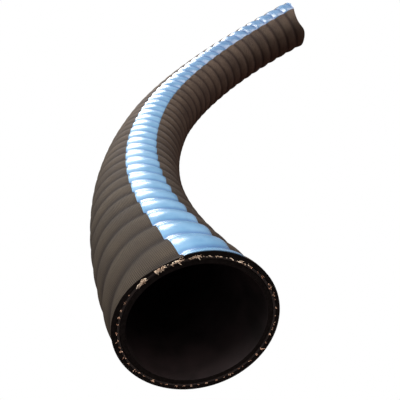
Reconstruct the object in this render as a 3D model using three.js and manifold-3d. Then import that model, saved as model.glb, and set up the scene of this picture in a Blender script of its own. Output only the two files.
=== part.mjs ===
import * as THREE from "three";
import { mergeVertices } from "three/addons/utils/BufferGeometryUtils.js";
import Module from "manifold-3d";

// A length of corrugated rubber wet exhaust hose, lying in a bend on the floor z = 0.
// Millimetres, +Z up. The near end is cut askew, the far end square.

// wall, from the bore outwards
const boreDiameter = 63.5;
const linerWall = 2.4;
const plyWall = 1.0;
const coverWall = 1.5;
const layerGap = 0.3;

// the helical waves of the outer cover
const wavePitch = 20;
const waveDepth = 1.8;
const slopeShare = 0.3;
const firstValleyRun = 20;

// the coloured stripe along the cover: at each end, how far it runs from the top towards the inside of the bend
const stripeWidth = 27.5;
const stripeWall = 0.4;
const stripeFromTopNear = THREE.MathUtils.degToRad(36);
const stripeFromTopFar = THREE.MathUtils.degToRad(22);

// centreline on the floor: equal arcs that all turn right, from the near end, which heads along +Y
const hoseLength = 760;
const nearBendRadius = 614;
const secondBendRadius = 638;
const thirdBendRadius = 335;
const farBendRadius = 300;
const nearCutSkew = THREE.MathUtils.degToRad(-15);

// facets
const sides = 20;
const smoothStep = 30;
const trimAllowance = 40;

// radii worked out from the wall
const boreRadius = boreDiameter / 2;
const linerRadius = boreRadius + linerWall;
const plyInnerRadius = linerRadius + layerGap;
const plyRadius = plyInnerRadius + plyWall;
const coverInnerRadius = plyRadius + layerGap;
const ridgeRadius = coverInnerRadius + coverWall + waveDepth / 2;
const valleyRadius = ridgeRadius - waveDepth;
const bendRadii = [nearBendRadius, secondBendRadius, thirdBendRadius, farBendRadius];
const bendLength = hoseLength / bendRadii.length;

const rubber = new THREE.MeshStandardMaterial({ color: 0x25211f, roughness: 0.72, metalness: 0 });
const linerRubber = new THREE.MeshStandardMaterial({ color: 0x0d0c0c, roughness: 0.6, metalness: 0 });
const textile = new THREE.MeshStandardMaterial({ color: 0xc9a583, roughness: 0.95, metalness: 0 });
const bluePrint = new THREE.MeshStandardMaterial({ color: 0x6fb1e6, roughness: 0.42, metalness: 0 });

const wasm = await Module();
wasm.setup();

// Place and heading on the centreline at a run s, straight on past both ends.
function centreAt(s) {
  const place = new THREE.Vector3(0, 0, ridgeRadius);
  let heading = 0;
  let left = s;
  bendRadii.forEach((radius, index) => {
    const last = index === bendRadii.length - 1;
    if (left <= 0 && index > 0) return;
    const run = Math.min(left, bendLength);
    if (run > 0) {
      const turn = run / radius;
      place.x += radius * (Math.cos(heading) - Math.cos(heading + turn));
      place.y += radius * (Math.sin(heading + turn) - Math.sin(heading));
      heading += turn;
    } else {
      place.y += run;
    }
    left -= run;
    if (last && left > 0) {
      place.x += left * Math.sin(heading);
      place.y += left * Math.cos(heading);
    }
  });
  return { place, heading };
}

// A point at run s, radius r and angle a, which is measured from the top towards the inside of the bend.
function hosePoint(s, r, a) {
  const { place, heading } = centreAt(s);
  const across = r * Math.sin(a);
  return [
    place.x + across * Math.cos(heading),
    place.y - across * Math.sin(heading),
    place.z + r * Math.cos(a),
  ];
}

function solidFrom(points, faces) {
  const geometry = new THREE.BufferGeometry();
  geometry.setAttribute("position", new THREE.Float32BufferAttribute(points.flat(), 3));
  geometry.setIndex(faces.flat());
  const merged = mergeVertices(geometry, 1e-3);
  return new wasm.Manifold(
    new wasm.Mesh({
      numProp: 3,
      vertProperties: merged.attributes.position.array,
      triVerts: new Uint32Array(merged.index.array),
    }),
  );
}

// A full round bar of one radius along the centreline, longer than the hose at both ends.
function plainBar(radius) {
  const from = -trimAllowance;
  const to = hoseLength + trimAllowance;
  const rows = Math.ceil((to - from) / smoothStep);
  const points = [];
  const faces = [];
  for (let row = 0; row <= rows; row++) {
    const s = from + ((to - from) * row) / rows;
    for (let side = 0; side < sides; side++) points.push(hosePoint(s, radius, (2 * Math.PI * side) / sides));
  }
  const first = points.push(hosePoint(from, 0, 0)) - 1;
  const last = points.push(hosePoint(to, 0, 0)) - 1;
  for (let side = 0; side < sides; side++) {
    const next = (side + 1) % sides;
    for (let row = 0; row < rows; row++) {
      const a = row * sides;
      const b = a + sides;
      faces.push([a + side, b + next, b + side], [a + side, a + next, b + next]);
    }
    faces.push([first, next, side], [last, rows * sides + side, rows * sides + next]);
  }
  return solidFrom(points, faces);
}

// A bar whose surface has the helical wave: each row of points runs along the helix.
function waveBar(offset) {
  const profile = [
    { share: 0, radius: valleyRadius + offset },
    { share: slopeShare, radius: ridgeRadius + offset },
    { share: 1 - slopeShare, radius: ridgeRadius + offset },
  ];
  const wavesBefore = Math.ceil((firstValleyRun + trimAllowance) / wavePitch);
  const wavesAfter = Math.ceil((hoseLength + trimAllowance - firstValleyRun) / wavePitch);
  const rows = (wavesBefore + wavesAfter) * profile.length;
  const startRun = (row) => {
    const wave = Math.floor(row / profile.length) - wavesBefore;
    return firstValleyRun + (wave + profile[row % profile.length].share) * wavePitch;
  };
  const points = [];
  const faces = [];
  const at = (row, side) => {
    const wrapped = side === sides;
    return (wrapped ? row + profile.length : row) * sides + (wrapped ? 0 : side);
  };
  for (let row = 0; row <= rows + profile.length; row++) {
    for (let side = 0; side < sides; side++) {
      const s = startRun(row) + (wavePitch * side) / sides;
      points.push(hosePoint(s, profile[row % profile.length].radius, (2 * Math.PI * side) / sides));
    }
  }
  for (let row = 0; row < rows; row++) {
    for (let side = 0; side < sides; side++) {
      faces.push(
        [at(row, side), at(row + 1, side + 1), at(row + 1, side)],
        [at(row, side), at(row, side + 1), at(row + 1, side + 1)],
      );
    }
  }
  const first = points.push(hosePoint(startRun(0) + wavePitch / 2, 0, 0)) - 1;
  const last = points.push(hosePoint(startRun(rows) + wavePitch / 2, 0, 0)) - 1;
  for (let side = 0; side < sides; side++) {
    faces.push([first, at(0, side + 1), at(0, side)], [last, at(rows, side), at(rows, side + 1)]);
  }
  for (let step = 0; step < profile.length; step++) {
    faces.push([first, at(step, 0), at(step + 1, 0)], [last, at(rows + step + 1, 0), at(rows + step, 0)]);
  }
  return solidFrom(points, faces);
}

// A sector along the hose that holds just the stripe's width, and turns a little with the stripe.
function stripeSector() {
  const halfAngle = stripeWidth / 2 / ridgeRadius;
  const inner = boreRadius;
  const outer = ridgeRadius + layerGap + stripeWall + waveDepth;
  const section = [
    [inner, -halfAngle],
    [outer, -halfAngle],
    [outer, 0],
    [outer, halfAngle],
    [inner, halfAngle],
  ];
  const from = -trimAllowance;
  const to = hoseLength + trimAllowance;
  const rows = Math.ceil((to - from) / smoothStep);
  const points = [];
  const faces = [];
  for (let row = 0; row <= rows; row++) {
    const s = from + ((to - from) * row) / rows;
    const middle = THREE.MathUtils.lerp(stripeFromTopNear, stripeFromTopFar, s / hoseLength);
    for (const [r, a] of section) points.push(hosePoint(s, r, middle + a));
  }
  const corners = section.length;
  for (let row = 0; row < rows; row++) {
    for (let corner = 0; corner < corners; corner++) {
      const next = (corner + 1) % corners;
      const a = row * corners;
      const b = a + corners;
      faces.push([a + corner, b + next, b + corner], [a + corner, a + next, b + next]);
    }
  }
  for (let corner = 1; corner < corners - 1; corner++) {
    faces.push([0, corner + 1, corner]);
    faces.push([rows * corners, rows * corners + corner, rows * corners + corner + 1]);
  }
  return solidFrom(points, faces);
}

// Both cuts: the near one leans in plan by its skew, the far one is square to the hose.
function cutToLength(solid) {
  const near = centreAt(0);
  const far = centreAt(hoseLength);
  const nearNormal = [-Math.sin(nearCutSkew), Math.cos(nearCutSkew), 0];
  const farNormal = [-Math.sin(far.heading), -Math.cos(far.heading), 0];
  const dot = (normal, place) => normal[0] * place.x + normal[1] * place.y;
  return solid
    .trimByPlane(nearNormal, dot(nearNormal, near.place))
    .trimByPlane(farNormal, dot(farNormal, far.place));
}

function meshOf(name, solid, material) {
  const mesh = solid.getMesh();
  const geometry = new THREE.BufferGeometry();
  geometry.setAttribute("position", new THREE.Float32BufferAttribute(mesh.vertProperties, mesh.numProp));
  geometry.setIndex(Array.from(mesh.triVerts));
  geometry.computeVertexNormals();
  const object = new THREE.Mesh(geometry, material);
  object.name = name;
  return object;
}

function innerLiner() {
  return meshOf("inner_liner", cutToLength(plainBar(linerRadius).subtract(plainBar(boreRadius))), linerRubber);
}

function textilePly() {
  return meshOf("textile_ply", cutToLength(plainBar(plyRadius).subtract(plainBar(plyInnerRadius))), textile);
}

function outerCover() {
  return meshOf("outer_cover", cutToLength(waveBar(0).subtract(plainBar(coverInnerRadius))), rubber);
}

function blueStripe() {
  const skin = waveBar(layerGap + stripeWall).subtract(waveBar(layerGap));
  return meshOf("blue_stripe", cutToLength(skin.intersect(stripeSector())), bluePrint);
}

const hose = new THREE.Group();
hose.name = "wet_exhaust_hose";
hose.add(innerLiner(), textilePly(), outerCover(), blueStripe());

const box = new THREE.Box3().setFromObject(hose);
const middle = box.getCenter(new THREE.Vector3());
hose.position.set(-middle.x, -middle.y, -box.min.z);

export default hose;
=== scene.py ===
import math
import bpy
import numpy as np
from mathutils import Matrix, Vector


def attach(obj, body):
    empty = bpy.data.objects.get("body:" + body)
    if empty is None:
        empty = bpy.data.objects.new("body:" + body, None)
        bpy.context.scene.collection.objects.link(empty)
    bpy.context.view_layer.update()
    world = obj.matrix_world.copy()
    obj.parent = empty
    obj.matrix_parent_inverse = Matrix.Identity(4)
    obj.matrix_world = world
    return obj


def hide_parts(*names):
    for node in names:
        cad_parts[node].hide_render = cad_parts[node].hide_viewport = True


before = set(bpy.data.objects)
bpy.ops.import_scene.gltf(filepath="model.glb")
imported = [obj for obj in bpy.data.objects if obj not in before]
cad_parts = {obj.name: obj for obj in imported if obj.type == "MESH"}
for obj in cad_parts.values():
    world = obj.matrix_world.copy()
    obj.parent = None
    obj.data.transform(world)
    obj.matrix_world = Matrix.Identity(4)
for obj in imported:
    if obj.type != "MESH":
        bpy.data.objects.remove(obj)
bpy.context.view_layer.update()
rng = np.random.default_rng(11)

# where the hose lies: the near end's centre, then arcs that all turn right, in metres
hoseRun = {
    "nearCentre": (-0.207966, -0.262946, 0.03815),
    "arcs": [(0.19, 0.614), (0.19, 0.638), (0.19, 0.335), (0.19, 0.300)],  # length, radius
    "nearSkew": math.radians(-15),  # lean of the near cut in plan
    # the far cut is a little uneven: degrees from the top, and millimetres past the square cut
    "farCut": [(-90, 0), (-20, 2), (25, 5), (42, 3), (58, -1), (72, -3), (84, -2), (94, 1),
               (106, 4), (120, 3.5), (140, 1), (180, 0)],
    "farCutSoftening": (-6, -3, 0, 3, 6),  # degrees over which that edge is averaged
}

# wall radii from the bore outwards
wall = {
    "bore": 0.03175,
    "linerOutside": 0.03415,
    "plyInside": 0.03445,
    "plyOutside": 0.03545,
    "coverInside": 0.03575,
    "ridge": 0.03815,
}

wave = {
    "pitch": 0.020,
    "depth": 0.0018,
    "firstValley": 0.020,  # run of the first valley along the top
    "valleySoftness": 0.16,  # 0 is a sharp crease between round ridges
    # a slow swing along and round the hose, and what it takes off the depth and the ridge
    "swingPerMetre": 61,
    "swingRound": 2.1,
    "swingStart": 0.7,
    "swingOfDepth": 0.12,
    "swingOfRidge": 0.00008,
}

hoseLength = sum(length for length, radius in hoseRun["arcs"])


# place and heading on the centreline, straight on past both ends
def centreAt(run):
    run = np.asarray(run, dtype=float)
    x = np.full_like(run, hoseRun["nearCentre"][0])
    y = hoseRun["nearCentre"][1] + np.minimum(run, 0)
    heading = np.zeros_like(run)
    start = 0.0
    for length, radius in hoseRun["arcs"]:
        turn = np.clip(run - start, 0, length) / radius
        x = x + radius * (np.cos(heading) - np.cos(heading + turn))
        y = y + radius * (np.sin(heading + turn) - np.sin(heading))
        heading = heading + turn
        start += length
    past = np.maximum(run - start, 0)
    return x + past * np.sin(heading), y + past * np.cos(heading), heading


# angle goes from the top towards the inside of the bend
def hosePoint(run, radius, angle):
    x, y, heading = centreAt(run)
    across = radius * np.sin(angle)
    return np.stack([
        x + across * np.cos(heading),
        y - across * np.sin(heading),
        hoseRun["nearCentre"][2] + radius * np.cos(angle),
    ], axis=-1)


# run at which the leaning near cut meets this radius and angle
def nearCutRun(radius, angle):
    lean = (-math.sin(hoseRun["nearSkew"]), math.cos(hoseRun["nearSkew"]))
    run = np.zeros(np.broadcast(radius, angle).shape)
    for _ in range(5):
        point = hosePoint(run, radius, angle)
        short = (point[..., 0] - hoseRun["nearCentre"][0]) * lean[0]
        short += (point[..., 1] - hoseRun["nearCentre"][1]) * lean[1]
        run = run - short / lean[1]
    return run


# run at which the hose ends at this angle
def farCutRun(angle):
    turned = (np.degrees(angle) + 180) % 360 - 180
    degrees, past = zip(*hoseRun["farCut"])
    soft = [np.interp(turned + shift, degrees, past, period=360)
            for shift in hoseRun["farCutSoftening"]]
    return hoseLength + 0.001 * sum(soft) / len(soft)


# 1 in the bottom of a valley, 0 on the ridge
def grooveAt(run, angle):
    phase = (run - wave["firstValley"]) / wave["pitch"] - angle / (2 * math.pi)
    soft = wave["valleySoftness"]
    arch = np.sqrt(np.sin(math.pi * phase) ** 2 + soft ** 2)
    return (math.sqrt(1 + soft ** 2) - arch) / (math.sqrt(1 + soft ** 2) - soft)


def coverRadius(run, angle):
    swing = run * wave["swingPerMetre"] + wave["swingRound"] * np.sin(angle) + wave["swingStart"]
    unevenness = 0.5 + 0.5 * np.sin(swing)
    depth = wave["depth"] * (1 - wave["swingOfDepth"] * unevenness)
    return wall["ridge"] - wave["swingOfRidge"] * unevenness - depth * grooveAt(run, angle)


# the camera stands where the picture was taken from
view = {
    "place": (-0.217296, -0.412336, 0.16081),
    "yaw": math.radians(14.067),  # from +Y towards +X
    "pitch": math.radians(24.737),  # down
    "roll": math.radians(-28.108),
    "lens": 36.76,
}


def makeCamera():
    sinYaw, cosYaw = math.sin(view["yaw"]), math.cos(view["yaw"])
    sinPitch, cosPitch = math.sin(view["pitch"]), math.cos(view["pitch"])
    forward = Vector((sinYaw * cosPitch, cosYaw * cosPitch, -sinPitch))
    right = Vector((cosYaw, -sinYaw, 0))
    up = right.cross(forward)
    sideways = math.cos(view["roll"]) * right + math.sin(view["roll"]) * up
    upwards = -math.sin(view["roll"]) * right + math.cos(view["roll"]) * up
    camera = bpy.data.objects.new("photoCamera", bpy.data.cameras.new("photoCamera"))
    turned = Matrix((sideways, upwards, -forward)).transposed().to_4x4()
    camera.matrix_world = Matrix.Translation(view["place"]) @ turned
    camera.data.sensor_fit = "HORIZONTAL"
    camera.data.sensor_width = 36
    camera.data.lens = view["lens"]
    camera.data.clip_start = 0.01
    bpy.context.scene.collection.objects.link(camera)
    bpy.context.scene.camera = camera


makeCamera()
print("camera placed")


# a mesh object; uvs are in metres, around and along, and need quads only
def newPiece(name, verts, faces, sharpAngle=40, uvs=None):
    mesh = bpy.data.meshes.new(name)
    mesh.from_pydata(verts.tolist(), [], faces)
    mesh.polygons.foreach_set("use_smooth", [True] * len(mesh.polygons))
    mesh.set_sharp_from_angle(angle=math.radians(sharpAngle))
    if uvs is not None:
        layer = mesh.uv_layers.new(name="alongHose")
        corners = np.empty(len(mesh.loops), dtype=np.int32)
        mesh.loops.foreach_get("vertex_index", corners)
        placed = uvs[corners].reshape(-1, 4, 2)
        turn = 2 * math.pi * wall["ridge"]
        wraps = np.ptp(placed[..., 0], axis=1, keepdims=True) > turn / 2
        placed[..., 0] += np.where(wraps & (placed[..., 0] < turn / 2), turn, 0)
        layer.data.foreach_set("uv", placed.ravel())
    piece = bpy.data.objects.new(name, mesh)
    bpy.context.scene.collection.objects.link(piece)
    return piece


# quads between neighbouring rows of one grid whose rows close on themselves
def ringFaces(rowCount, around, start=0, inward=False):
    faces = []
    for row in range(rowCount - 1):
        low = start + row * around
        high = low + around
        for side in range(around):
            other = (side + 1) % around
            quad = (low + side, high + side, high + other, low + other)
            faces.append(quad[::-1] if inward else quad)
    return faces


plainRows = 60  # rows of a skin without waves


# a thick-walled tube along the hose, whose radii may depend on run and angle
# the faces come as the outside, the inside, and then the two cuts
def tubeAlong(outer, inner, rowsOutside, rowsInside, around):
    angles = np.linspace(0, 2 * math.pi, around, endpoint=False)

    def skin(radiusAt, rows):
        near = nearCutRun(wall["plyOutside"], angles)
        for _ in range(6):
            near = nearCutRun(radiusAt(near, angles), angles)
        share = np.linspace(0, 1, rows)[:, None]
        run = near[None, :] * (1 - share) + farCutRun(angles)[None, :] * share
        turn = np.broadcast_to(angles, run.shape)
        radius = radiusAt(run, turn)
        uv = np.stack([turn * wall["ridge"], run], axis=-1)
        return hosePoint(run, radius, turn).reshape(-1, 3), uv.reshape(-1, 2)

    outside, outsideUv = skin(outer, rowsOutside)
    inside, insideUv = skin(inner, rowsInside)
    verts = np.concatenate([outside, inside])
    uvs = np.concatenate([outsideUv, insideUv])
    faces = ringFaces(rowsOutside, around)
    faces += ringFaces(rowsInside, around, len(outside), inward=True)
    lastOut = len(outside) - around
    lastIn = len(verts) - around
    for side in range(around):
        other = (side + 1) % around
        faces.append((side, other, len(outside) + other, len(outside) + side))
        faces.append((lastOut + side, lastIn + side, lastIn + other, lastOut + other))
    return verts, faces, uvs


# the first slot's finish on the first faces, the second's on the rest
def paintInTwo(piece, firstFaces, firstFinish, secondFinish):
    piece.data.materials.append(firstFinish)
    piece.data.materials.append(secondFinish)
    rest = len(piece.data.polygons) - firstFaces
    piece.data.polygons.foreach_set("material_index", [0] * firstFaces + [1] * rest)


# a finish with its nodes, links and shader, and the place on the piece that its textures read
def newFinish(name):
    finish = bpy.data.materials.new(name)
    finish.use_nodes = True
    nodes, links = finish.node_tree.nodes, finish.node_tree.links
    position = nodes.new("ShaderNodeTexCoord").outputs["Object"]
    return finish, nodes, links, nodes["Principled BSDF"], position


def mathNode(nodes, links, operation, *values):
    node = nodes.new("ShaderNodeMath")
    node.operation = operation
    for socket, value in enumerate(values):
        if isinstance(value, (int, float)):
            node.inputs[socket].default_value = value
        else:
            links.new(value, node.inputs[socket])
    return node.outputs[0]


def noiseNode(nodes, links, vector, scale, detail=3.0, roughness=0.55):
    node = nodes.new("ShaderNodeTexNoise")
    node.inputs["Scale"].default_value = scale
    node.inputs["Detail"].default_value = detail
    node.inputs["Roughness"].default_value = roughness
    links.new(vector, node.inputs["Vector"])
    return node.outputs["Fac"]


def rampNode(nodes, links, factor, stops):
    node = nodes.new("ShaderNodeValToRGB")
    while len(node.color_ramp.elements) < len(stops):
        node.color_ramp.elements.new(0.5)
    for element, (place, colour) in zip(node.color_ramp.elements, stops):
        element.position = place
        element.color = (*colour, 1)
    links.new(factor, node.inputs["Fac"])
    return node.outputs["Color"]


def bumpNode(nodes, links, height, distance, strength=1.0, before=None):
    node = nodes.new("ShaderNodeBump")
    node.inputs["Distance"].default_value = distance
    node.inputs["Strength"].default_value = strength
    links.new(height, node.inputs["Height"])
    if before is not None:
        links.new(before, node.inputs["Normal"])
    return node.outputs["Normal"]


def mixColour(nodes, links, blendType, factor, first, second):
    node = nodes.new("ShaderNodeMix")
    node.data_type = "RGBA"
    node.blend_type = blendType
    for socket, value in ((0, factor), (6, first), (7, second)):
        if isinstance(value, (int, float)):
            node.inputs[socket].default_value = value
        elif isinstance(value, tuple):
            node.inputs[socket].default_value = (*value, 1)
        else:
            links.new(value, node.inputs[socket])
    return node.outputs[2]


# around and along the hose in metres
def alongHose(nodes, links):
    uv = nodes.new("ShaderNodeUVMap")
    uv.uv_map = "alongHose"
    parts = nodes.new("ShaderNodeSeparateXYZ")
    links.new(uv.outputs["UV"], parts.inputs[0])
    return parts.outputs["X"], parts.outputs["Y"]


cloth = {
    "threads": 276,  # round the hose
    "crossSpacing": 0.0011,
    "crossShare": 0.6,  # how strong the cross threads are beside the others
    "wobbleScale": 70,
    "wobble": 6.0,
}


# threads along and across the hose, pressed into the rubber by the cloth it was wrapped in
def clothImprint(nodes, links, position, around, along):
    wobble = noiseNode(nodes, links, position, cloth["wobbleScale"], 2)
    shift = mathNode(nodes, links, "MULTIPLY", wobble, cloth["wobble"])
    ribs = mathNode(nodes, links, "MULTIPLY_ADD", around, cloth["threads"] / wall["ridge"], shift)
    ribs = mathNode(nodes, links, "SINE", ribs)
    perMetre = 2 * math.pi / cloth["crossSpacing"]
    cross = mathNode(nodes, links, "MULTIPLY_ADD", along, perMetre, shift)
    cross = mathNode(nodes, links, "SINE", cross)
    share = cloth["crossShare"]
    both = mathNode(nodes, links, "MULTIPLY_ADD", cross, share, ribs)
    return mathNode(nodes, links, "MULTIPLY_ADD", both, 0.5 / (1 + share), 0.5)


# 1 along the valley lines, falling to 0 up the sides of the waves: where the painted shade of the
# valleys lies
def valleyShadeMask(nodes, links, around, along, share):
    turns = mathNode(nodes, links, "MULTIPLY", around, -1 / (2 * math.pi * wall["ridge"]))
    phase = mathNode(nodes, links, "MULTIPLY_ADD", along, 1 / wave["pitch"], turns)
    phase = mathNode(nodes, links, "SUBTRACT", phase, wave["firstValley"] / wave["pitch"])
    away = mathNode(nodes, links, "PINGPONG", phase, 0.5)
    line = nodes.new("ShaderNodeMapRange")
    line.interpolation_type = "SMOOTHSTEP"
    line.inputs["From Min"].default_value = share
    line.inputs["From Max"].default_value = 0.0
    links.new(away, line.inputs["Value"])
    return line.outputs["Result"]


# the colour darkened by painted shade in the valleys, and by painted light and shade from one end
# of a stretch of the hose to the other
def shadeAlong(nodes, links, colour, around, along, facts):
    # painted shade along the valley lines
    lines = valleyShadeMask(nodes, links, around, along, facts["valleyShadeShare"])
    dark = mixColour(nodes, links, "MIX", lines, plainWhite, facts["valleyPaintedShade"])
    colour = mixColour(nodes, links, "MULTIPLY", 1.0, colour, dark)
    # painted light and shade along the hose
    farness = nodes.new("ShaderNodeMapRange")
    farness.inputs["From Min"].default_value = facts["paintedShadingFrom"]
    farness.inputs["From Max"].default_value = facts["paintedShadingTo"]
    links.new(along, farness.inputs["Value"])
    paintedShading = mixColour(nodes, links, "MIX", farness.outputs["Result"],
                     facts["paintedShadingNear"], facts["paintedShadingFar"])
    return mixColour(nodes, links, "MULTIPLY", 1.0, colour, paintedShading)


plainWhite = (1.0, 1.0, 1.0)

cover = {
    "around": 104,
    "rows": 846,
    "brown": (0.058, 0.044, 0.032),
    "brownDark": (0.036, 0.025, 0.018),
    "brownPale": (0.084, 0.066, 0.049),
    "valleyShadeShare": 0.26,  # how far the painted shade of a valley reaches, as a share of the wave
    "valleyPaintedShade": (0.36, 0.29, 0.27),  # painted shade: what is left of the colour in a valley
    # painted shade in the troughs of the cloth imprint
    "shadeBetweenThreads": (0.26, 0.23, 0.20),
    # set to match the photo; painted light and shade: darker near, about twice as pale far away
    "paintedShadingFrom": 0.08,
    "paintedShadingTo": 0.55,
    "paintedShadingNear": (0.77, 0.76, 0.69),
    "paintedShadingFar": (1.62, 1.52, 1.50),
    "imprint": 0.00030,
    "grain": 0.00006,
    "roughness": (0.62, 0.84),
    "cut": (0.0050, 0.0042, 0.0040),
    "cutPaler": 2.4,  # where the knife has dragged
    "cutDrag": 0.00018,
}


def coverFinish():
    finish, nodes, links, shader, position = newFinish("cover_rubber_cloth_wrapped")
    around, along = alongHose(nodes, links)
    imprint = clothImprint(nodes, links, position, around, along)
    patches = noiseNode(nodes, links, position, 42, 5)
    grain = noiseNode(nodes, links, position, 1100, 2)
    mixed = mathNode(nodes, links, "MULTIPLY_ADD", grain, 0.3, patches)
    colour = rampNode(nodes, links, mathNode(nodes, links, "MULTIPLY", mixed, 0.77), [
        (0.34, cover["brownDark"]), (0.52, cover["brown"]), (0.70, cover["brownPale"]),
    ])
    # painted shade in the troughs of the cloth imprint, between its threads
    between = rampNode(nodes, links, imprint,
                       [(0.24, cover["shadeBetweenThreads"]), (0.64, plainWhite)])
    colour = mixColour(nodes, links, "MULTIPLY", 1.0, colour, between)
    links.new(shadeAlong(nodes, links, colour, around, along, cover), shader.inputs["Base Color"])
    rough = nodes.new("ShaderNodeMapRange")
    smoothest, roughest = cover["roughness"]
    rough.inputs["To Min"].default_value = smoothest
    rough.inputs["To Max"].default_value = roughest
    links.new(patches, rough.inputs["Value"])
    links.new(rough.outputs["Result"], shader.inputs["Roughness"])
    threads = bumpNode(nodes, links, imprint, cover["imprint"])
    links.new(bumpNode(nodes, links, grain, cover["grain"], 0.7, threads), shader.inputs["Normal"])
    shader.inputs["Specular IOR Level"].default_value = 0.25
    return finish


def cutRubberFinish():
    finish, nodes, links, shader, position = newFinish("cover_rubber_cut")
    drag = noiseNode(nodes, links, position, 700, 3)
    paler = tuple(cover["cutPaler"] * part for part in cover["cut"])
    links.new(rampNode(nodes, links, drag, [(0.40, cover["cut"]), (0.75, paler)]),
              shader.inputs["Base Color"])
    shader.inputs["Roughness"].default_value = 0.75
    shader.inputs["Specular IOR Level"].default_value = 0.06
    links.new(bumpNode(nodes, links, drag, cover["cutDrag"]), shader.inputs["Normal"])
    return finish


def outerCover():
    verts, faces, uvs = tubeAlong(
        coverRadius,
        lambda run, angle: np.full(np.shape(run), wall["coverInside"]),
        cover["rows"], plainRows, cover["around"],
    )
    piece = newPiece("hoseCover", verts, faces, 40, uvs)
    outsideFaces = (cover["rows"] - 1) * cover["around"]
    paintInTwo(piece, outsideFaces, coverFinish(), cutRubberFinish())
    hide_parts("outer_cover")
    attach(piece, "root")
    return piece


hoseCover = outerCover()
print("cover made,", len(hoseCover.data.polygons), "faces")


liner = {
    "around": 112,
    "rowsInside": 380,
    "black": (0.009, 0.007, 0.007),
    "brownBlack": (0.025, 0.017, 0.018),
    "ringDepth": 0.00022,
    "grain": 0.00005,
    "roughness": 0.5,
}


def linerFinish():
    finish, nodes, links, shader, position = newFinish("liner_rubber_black")
    film = noiseNode(nodes, links, position, 55, 5)
    colour = rampNode(nodes, links, film, [(0.38, liner["black"]), (0.68, liner["brownBlack"])])
    links.new(colour, shader.inputs["Base Color"])
    shader.inputs["Roughness"].default_value = liner["roughness"]
    shader.inputs["Specular IOR Level"].default_value = 0.35
    grain = noiseNode(nodes, links, position, 1400, 2)
    links.new(bumpNode(nodes, links, grain, liner["grain"], 0.6), shader.inputs["Normal"])
    return finish


def innerLiner():
    def boreRadius(run, angle):
        return wall["bore"] + liner["ringDepth"] * (1 - grooveAt(run, angle))

    verts, faces, uvs = tubeAlong(
        lambda run, angle: np.full(np.shape(run), wall["linerOutside"]),
        boreRadius, plainRows, liner["rowsInside"], liner["around"],
    )
    piece = newPiece("hoseLiner", verts, faces, 40, uvs)
    cutFaces = 2 * liner["around"]
    paintInTwo(piece, len(faces) - cutFaces, linerFinish(), bpy.data.materials["cover_rubber_cut"])
    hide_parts("inner_liner")
    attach(piece, "root")
    return piece


hoseLiner = innerLiner()
print("liner made")


ply = {
    "around": 112,
    "fibreRadius": 0.00018,
    "fibreLength": 0.0010,
    "fibreCorners": 5,
    "endsInside": 0.00005,  # how far the yarn ends lie inside the ply's outside
    "radialSpread": (-0.00040, 0.00050),
    "rootDepth": 0.0003,
    # degrees from the top of the near cut: bright ragged clumps, slanted dashes, then dots
    "clumps": (-17, -1.5, 11.5, 23.5),
    "dashes": (32.5, 39, 47, 53.5, 59.5),
    "dots": (66, 336),
    "farDots": (0, 358),
    "dotSpacing": 6.3,
    "dotStray": 1.9,
    "cream": ((0.46, 0.33, 0.23), (0.86, 0.74, 0.58)),  # stained and clean
    "tan": ((0.26, 0.13, 0.08), (0.66, 0.44, 0.31)),
    "soaked": (0.009, 0.0065, 0.0058),
    "soakedPaler": 3.0,
}


def yarnFinish(shade):
    finish, nodes, links, shader, position = newFinish("textile_yarn_" + shade)
    stain = noiseNode(nodes, links, position, 330, 2)
    stained, clean = ply[shade]
    links.new(rampNode(nodes, links, stain, [(0.38, stained), (0.60, clean)]),
              shader.inputs["Base Color"])
    shader.inputs["Roughness"].default_value = 0.92
    hairs = noiseNode(nodes, links, position, 5200, 2)
    links.new(bumpNode(nodes, links, hairs, 0.00005), shader.inputs["Normal"])
    return finish


def soakedFinish():
    finish, nodes, links, shader, position = newFinish("textile_in_rubber")
    threads = noiseNode(nodes, links, position, 1500, 2)
    paler = tuple(ply["soakedPaler"] * part for part in ply["soaked"])
    links.new(rampNode(nodes, links, threads, [(0.42, ply["soaked"]), (0.72, paler)]),
              shader.inputs["Base Color"])
    shader.inputs["Roughness"].default_value = 0.85
    links.new(bumpNode(nodes, links, threads, 0.00012), shader.inputs["Normal"])
    return finish


# one tapered fibre: rings of points at the root, half way and at the tip
def fibreMesh(root, direction, bend, length, radius):
    corners = ply["fibreCorners"]
    anyOther = (0.31, 0.52, 0.79)
    sideA = np.cross(direction, anyOther)
    sideA = sideA / np.linalg.norm(sideA)
    sideB = np.cross(direction, sideA)
    verts = []
    for share, taper in ((0.0, 1.0), (0.5, 0.95), (1.0, 0.55)):
        middle = root + direction * length * share + bend * length * share * share
        thick = radius * taper
        for corner in range(corners):
            turn = 2 * math.pi * corner / corners
            verts.append(middle + thick * (math.cos(turn) * sideA + math.sin(turn) * sideB))
    faces = []
    for low in (0, corners):
        high = low + corners
        for corner in range(corners):
            other = (corner + 1) % corners
            faces.append((low + corner, low + other, high + other, high + corner))
    faces.append(tuple(range(corners - 1, -1, -1)))
    faces.append(tuple(range(2 * corners, 3 * corners)))
    return verts, faces


# how the yarn ends stand at one place round a cut:
# fibres, size, spread along the ring, lean, slant, and the material slot of their shade
yarnHabits = {
    "clump": (26, 1.25, 0.00125, 0.75, 0.0, 1),
    "dash": (9, 0.80, 0.00070, 0.25, 0.9, 1),
    "dot": (6, 0.70, 0.00034, 0.45, 0.0, 2),
}


def yarnPlaces(ragged):
    first, last = ply["dots"] if ragged else ply["farDots"]
    places = [(degrees, "dot") for degrees in np.arange(first, last, ply["dotSpacing"])]
    if ragged:
        places += [(degrees, "clump") for degrees in ply["clumps"]]
        places += [(degrees, "dash") for degrees in ply["dashes"]]
    return places


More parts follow.
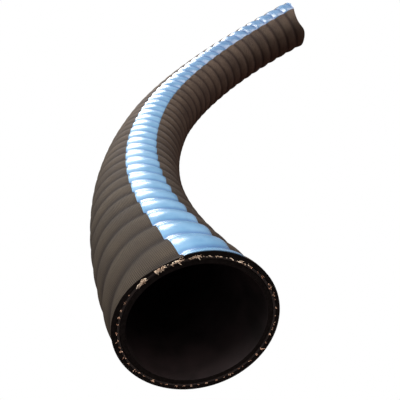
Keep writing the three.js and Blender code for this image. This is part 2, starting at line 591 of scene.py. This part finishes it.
# yarn ends round one cut face; outward is the face's own direction
def yarnEnds(verts, faces, shades, runAt, outward, ragged):
    middleRadius = wall["plyOutside"] - ply["endsInside"]
    stray = ply["dotStray"]
    for degrees, kind in yarnPlaces(ragged):
        fibres, usualSize, spread, lean, slant, shade = yarnHabits[kind]
        angle = math.radians(degrees + (rng.uniform(-stray, stray) if kind == "dot" else 0))
        size = usualSize * rng.uniform(0.75, 1.3)
        for _ in range(int(fibres * size)):
            turn = angle + rng.normal(0, spread) / middleRadius
            radius = middleRadius + rng.uniform(*ply["radialSpread"]) * size
            onward = turn + 0.01
            root = hosePoint(runAt(radius, turn), radius, turn) - outward * ply["rootDepth"]
            around = hosePoint(runAt(radius, onward), radius, onward) - root
            around = around - outward * np.dot(around, outward)
            around = around / np.linalg.norm(around)
            outwards = np.cross(outward, around)
            direction = outward + around * (slant + rng.normal(0, lean))
            direction = direction + outwards * rng.normal(0, lean * 0.6)
            direction = direction / np.linalg.norm(direction)
            bend = around * rng.normal(0, 0.5) + outwards * rng.normal(0, 0.4)
            length = ply["fibreLength"] * size * rng.uniform(0.65, 1.15)
            fibreVerts, fibreFaces = fibreMesh(
                root, direction, bend, length, ply["fibreRadius"] * rng.uniform(0.8, 1.3))
            start = len(verts)
            verts.extend(fibreVerts)
            faces.extend(tuple(start + corner for corner in face) for face in fibreFaces)
            shades.extend([shade] * len(fibreFaces))


def textilePly():
    # the yarn ends have no uvs, so the tube's are left
    tube, faces = tubeAlong(
        lambda run, angle: np.full(np.shape(run), wall["plyOutside"]),
        lambda run, angle: np.full(np.shape(run), wall["plyInside"]),
        plainRows, plainRows, ply["around"],
    )[:2]
    verts = list(tube)
    shades = [0] * len(faces)
    lean = hoseRun["nearSkew"]
    nearOutward = np.array([math.sin(lean), -math.cos(lean), 0])
    yarnEnds(verts, faces, shades, nearCutRun, nearOutward, True)
    farHeading = float(centreAt(np.array(hoseLength))[2])
    farOutward = np.array([math.sin(farHeading), math.cos(farHeading), 0])
    yarnEnds(verts, faces, shades, lambda radius, angle: farCutRun(angle), farOutward, False)
    piece = newPiece("hosePly", np.array(verts), faces, 50)
    piece.data.materials.append(soakedFinish())
    piece.data.materials.append(yarnFinish("cream"))
    piece.data.materials.append(yarnFinish("tan"))
    piece.data.polygons.foreach_set("material_index", shades)
    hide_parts("textile_ply")
    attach(piece, "root")
    return piece


hosePly = textilePly()
print("ply and yarn ends made,", len(hosePly.data.polygons), "faces")


# the print on the stripe is left out
stripe = {
    "width": 0.0275,
    "fromTopNear": math.radians(36),  # towards the inside of the bend
    "fromTopFar": math.radians(22),
    "lift": 0.00008,  # over the cover
    "thick": 0.00036,
    "edgeStep": 0.0012,  # how far the left edge steps at each wave
    "columns": 26,
    "blue": (0.079, 0.198, 0.335),
    "bluePale": (0.146, 0.288, 0.44),
    # painted shade in the valleys: how far it reaches, and what is left of the colour
    "valleyShadeShare": 0.2,
    "valleyPaintedShade": (0.46, 0.56, 0.72),
    # set to match the photo; painted shade: darker far away
    "paintedShadingFrom": 0.30,
    "paintedShadingTo": 0.62,
    "paintedShadingNear": plainWhite,
    "paintedShadingFar": (0.66, 0.66, 0.74),
    "imprint": 0.00003,
    "roughness": 0.27,
    "coat": 0.3,
    "coatRoughness": 0.2,
}


def stripeFinish():
    finish, nodes, links, shader, position = newFinish("stripe_blue_gloss")
    around, along = alongHose(nodes, links)
    imprint = clothImprint(nodes, links, position, around, along)
    patches = noiseNode(nodes, links, position, 60, 4)
    colour = rampNode(nodes, links, patches, [(0.36, stripe["blue"]), (0.72, stripe["bluePale"])])
    links.new(shadeAlong(nodes, links, colour, around, along, stripe), shader.inputs["Base Color"])
    shader.inputs["Roughness"].default_value = stripe["roughness"]
    shader.inputs["Coat Weight"].default_value = stripe["coat"]
    shader.inputs["Coat Roughness"].default_value = stripe["coatRoughness"]
    links.new(bumpNode(nodes, links, imprint, stripe["imprint"]), shader.inputs["Normal"])
    return finish


def blueStripe():
    half = stripe["width"] / 2 / wall["ridge"]
    columns = stripe["columns"]
    rows = cover["rows"]
    share = np.linspace(-1, 1, columns)[None, :]
    level = np.linspace(0, 1, rows)[:, None]
    skins = []
    for thick in (stripe["thick"], 0.0):
        middle = stripe["fromTopNear"] * (1 - level) + stripe["fromTopFar"] * level
        angle = middle + half * share
        near = nearCutRun(wall["ridge"], angle[0])
        far = farCutRun(angle[-1])
        run = near[None, :] * (1 - level) + far[None, :] * level
        phase = (run - wave["firstValley"]) / wave["pitch"] - angle / (2 * math.pi)
        saw = phase - np.floor(phase) - 0.5
        onLeft = np.clip(-share, 0, 1) ** 6
        angle = angle + saw * stripe["edgeStep"] / wall["ridge"] * onLeft
        height = stripe["lift"] + thick * (1 - np.abs(share) ** 14)
        for _ in range(4):
            radius = coverRadius(run, angle) + height
            near = nearCutRun(radius[0], angle[0])
            run = near[None, :] * (1 - level) + far[None, :] * level
        radius = coverRadius(run, angle) + height
        uv = np.stack([angle * wall["ridge"], run], axis=-1).reshape(-1, 2)
        skins.append((hosePoint(run, radius, angle).reshape(-1, 3), uv))
    verts = np.concatenate([skins[0][0], skins[1][0]])
    uvs = np.concatenate([skins[0][1], skins[1][1]])
    faces = []
    below = rows * columns
    for row in range(rows - 1):
        for column in range(columns - 1):
            corner = row * columns + column
            quad = (corner, corner + columns, corner + columns + 1, corner + 1)
            faces += [quad, tuple(below + place for place in quad[::-1])]
        left, right = row * columns, row * columns + columns - 1
        faces.append((left, below + left, below + left + columns, left + columns))
        faces.append((right, right + columns, below + right + columns, below + right))
    for column in range(columns - 1):
        last = (rows - 1) * columns + column
        faces.append((column, column + 1, below + column + 1, below + column))
        faces.append((last, below + last, below + last + 1, last + 1))
    piece = newPiece("hoseStripe", verts, faces, 60, uvs)
    piece.data.materials.append(stripeFinish())
    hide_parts("blue_stripe")
    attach(piece, "root")
    return piece


hoseStripe = blueStripe()
print("stripe made")


print("hose declared,", round(hoseLength, 3), "m")


# the photo is a cut-out on plain white: no floor shows, only its dim reddish light from below
studio = {
    "sky": (0.42, 0.42, 0.42),
    "below": (0.20, 0.105, 0.085),
    "horizonBlend": 0.25,  # how far above and below the horizon the two mix
    # broad lights: where each comes from, its strength, spread and colour
    "suns": {
        "broadKey": {"from": (-0.10, 0.14, 0.98), "strength": 4.6,
                     "spread": math.radians(34), "colour": (1.0, 0.99, 0.96)},
        "warmFill": {"from": (0.58, -0.30, 0.76), "strength": 2.6,
                     "spread": math.radians(50), "colour": (1.0, 0.86, 0.82)},
    },
    "softboxes": {
        "backSoftbox": {"place": (0.37, 1.20, 0.74), "size": (0.50, 0.55), "watts": 11,
                        "target": (-0.15, 0.0, 0.05)},
    },
}


def makeLight(name, facts):
    light = bpy.data.lights.new(name, "AREA")
    light.shape = "RECTANGLE"
    light.size, light.size_y = facts["size"]
    light.energy = facts["watts"]
    lamp = bpy.data.objects.new(name, light)
    lamp.location = facts["place"]
    aim = Vector(facts["target"]) - Vector(facts["place"])
    lamp.rotation_euler = aim.to_track_quat("-Z", "Y").to_euler()
    bpy.context.scene.collection.objects.link(lamp)


def makeSun(name, facts):
    sun = bpy.data.lights.new(name, "SUN")
    sun.energy = facts["strength"]
    sun.angle = facts["spread"]
    sun.color = facts["colour"]
    lamp = bpy.data.objects.new(name, sun)
    lamp.location = 2 * Vector(facts["from"])
    lamp.rotation_euler = Vector(facts["from"]).to_track_quat("Z", "Y").to_euler()
    bpy.context.scene.collection.objects.link(lamp)


# white behind the hose, and a softer light on it from the sky and from below
def makeWorld():
    world = bpy.data.worlds.new("studioWorld")
    world.use_nodes = True
    nodes, links = world.node_tree.nodes, world.node_tree.links
    direction = nodes.new("ShaderNodeTexCoord").outputs["Generated"]
    parts = nodes.new("ShaderNodeSeparateXYZ")
    links.new(direction, parts.inputs[0])
    height = nodes.new("ShaderNodeMapRange")
    height.inputs["From Min"].default_value = -studio["horizonBlend"]
    height.inputs["From Max"].default_value = studio["horizonBlend"]
    links.new(parts.outputs["Z"], height.inputs["Value"])
    light = mixColour(nodes, links, "MIX", height.outputs["Result"],
                      studio["below"], studio["sky"])
    rays = nodes.new("ShaderNodeLightPath")
    seen = mixColour(nodes, links, "MIX", rays.outputs["Is Camera Ray"], light, plainWhite)
    links.new(seen, nodes["Background"].inputs["Color"])
    bpy.context.scene.world = world
    bpy.context.scene.view_settings.view_transform = "Standard"


for sunName, sunFacts in studio["suns"].items():
    makeSun(sunName, sunFacts)
for lightName, lightFacts in studio["softboxes"].items():
    makeLight(lightName, lightFacts)
makeWorld()
print("light set")
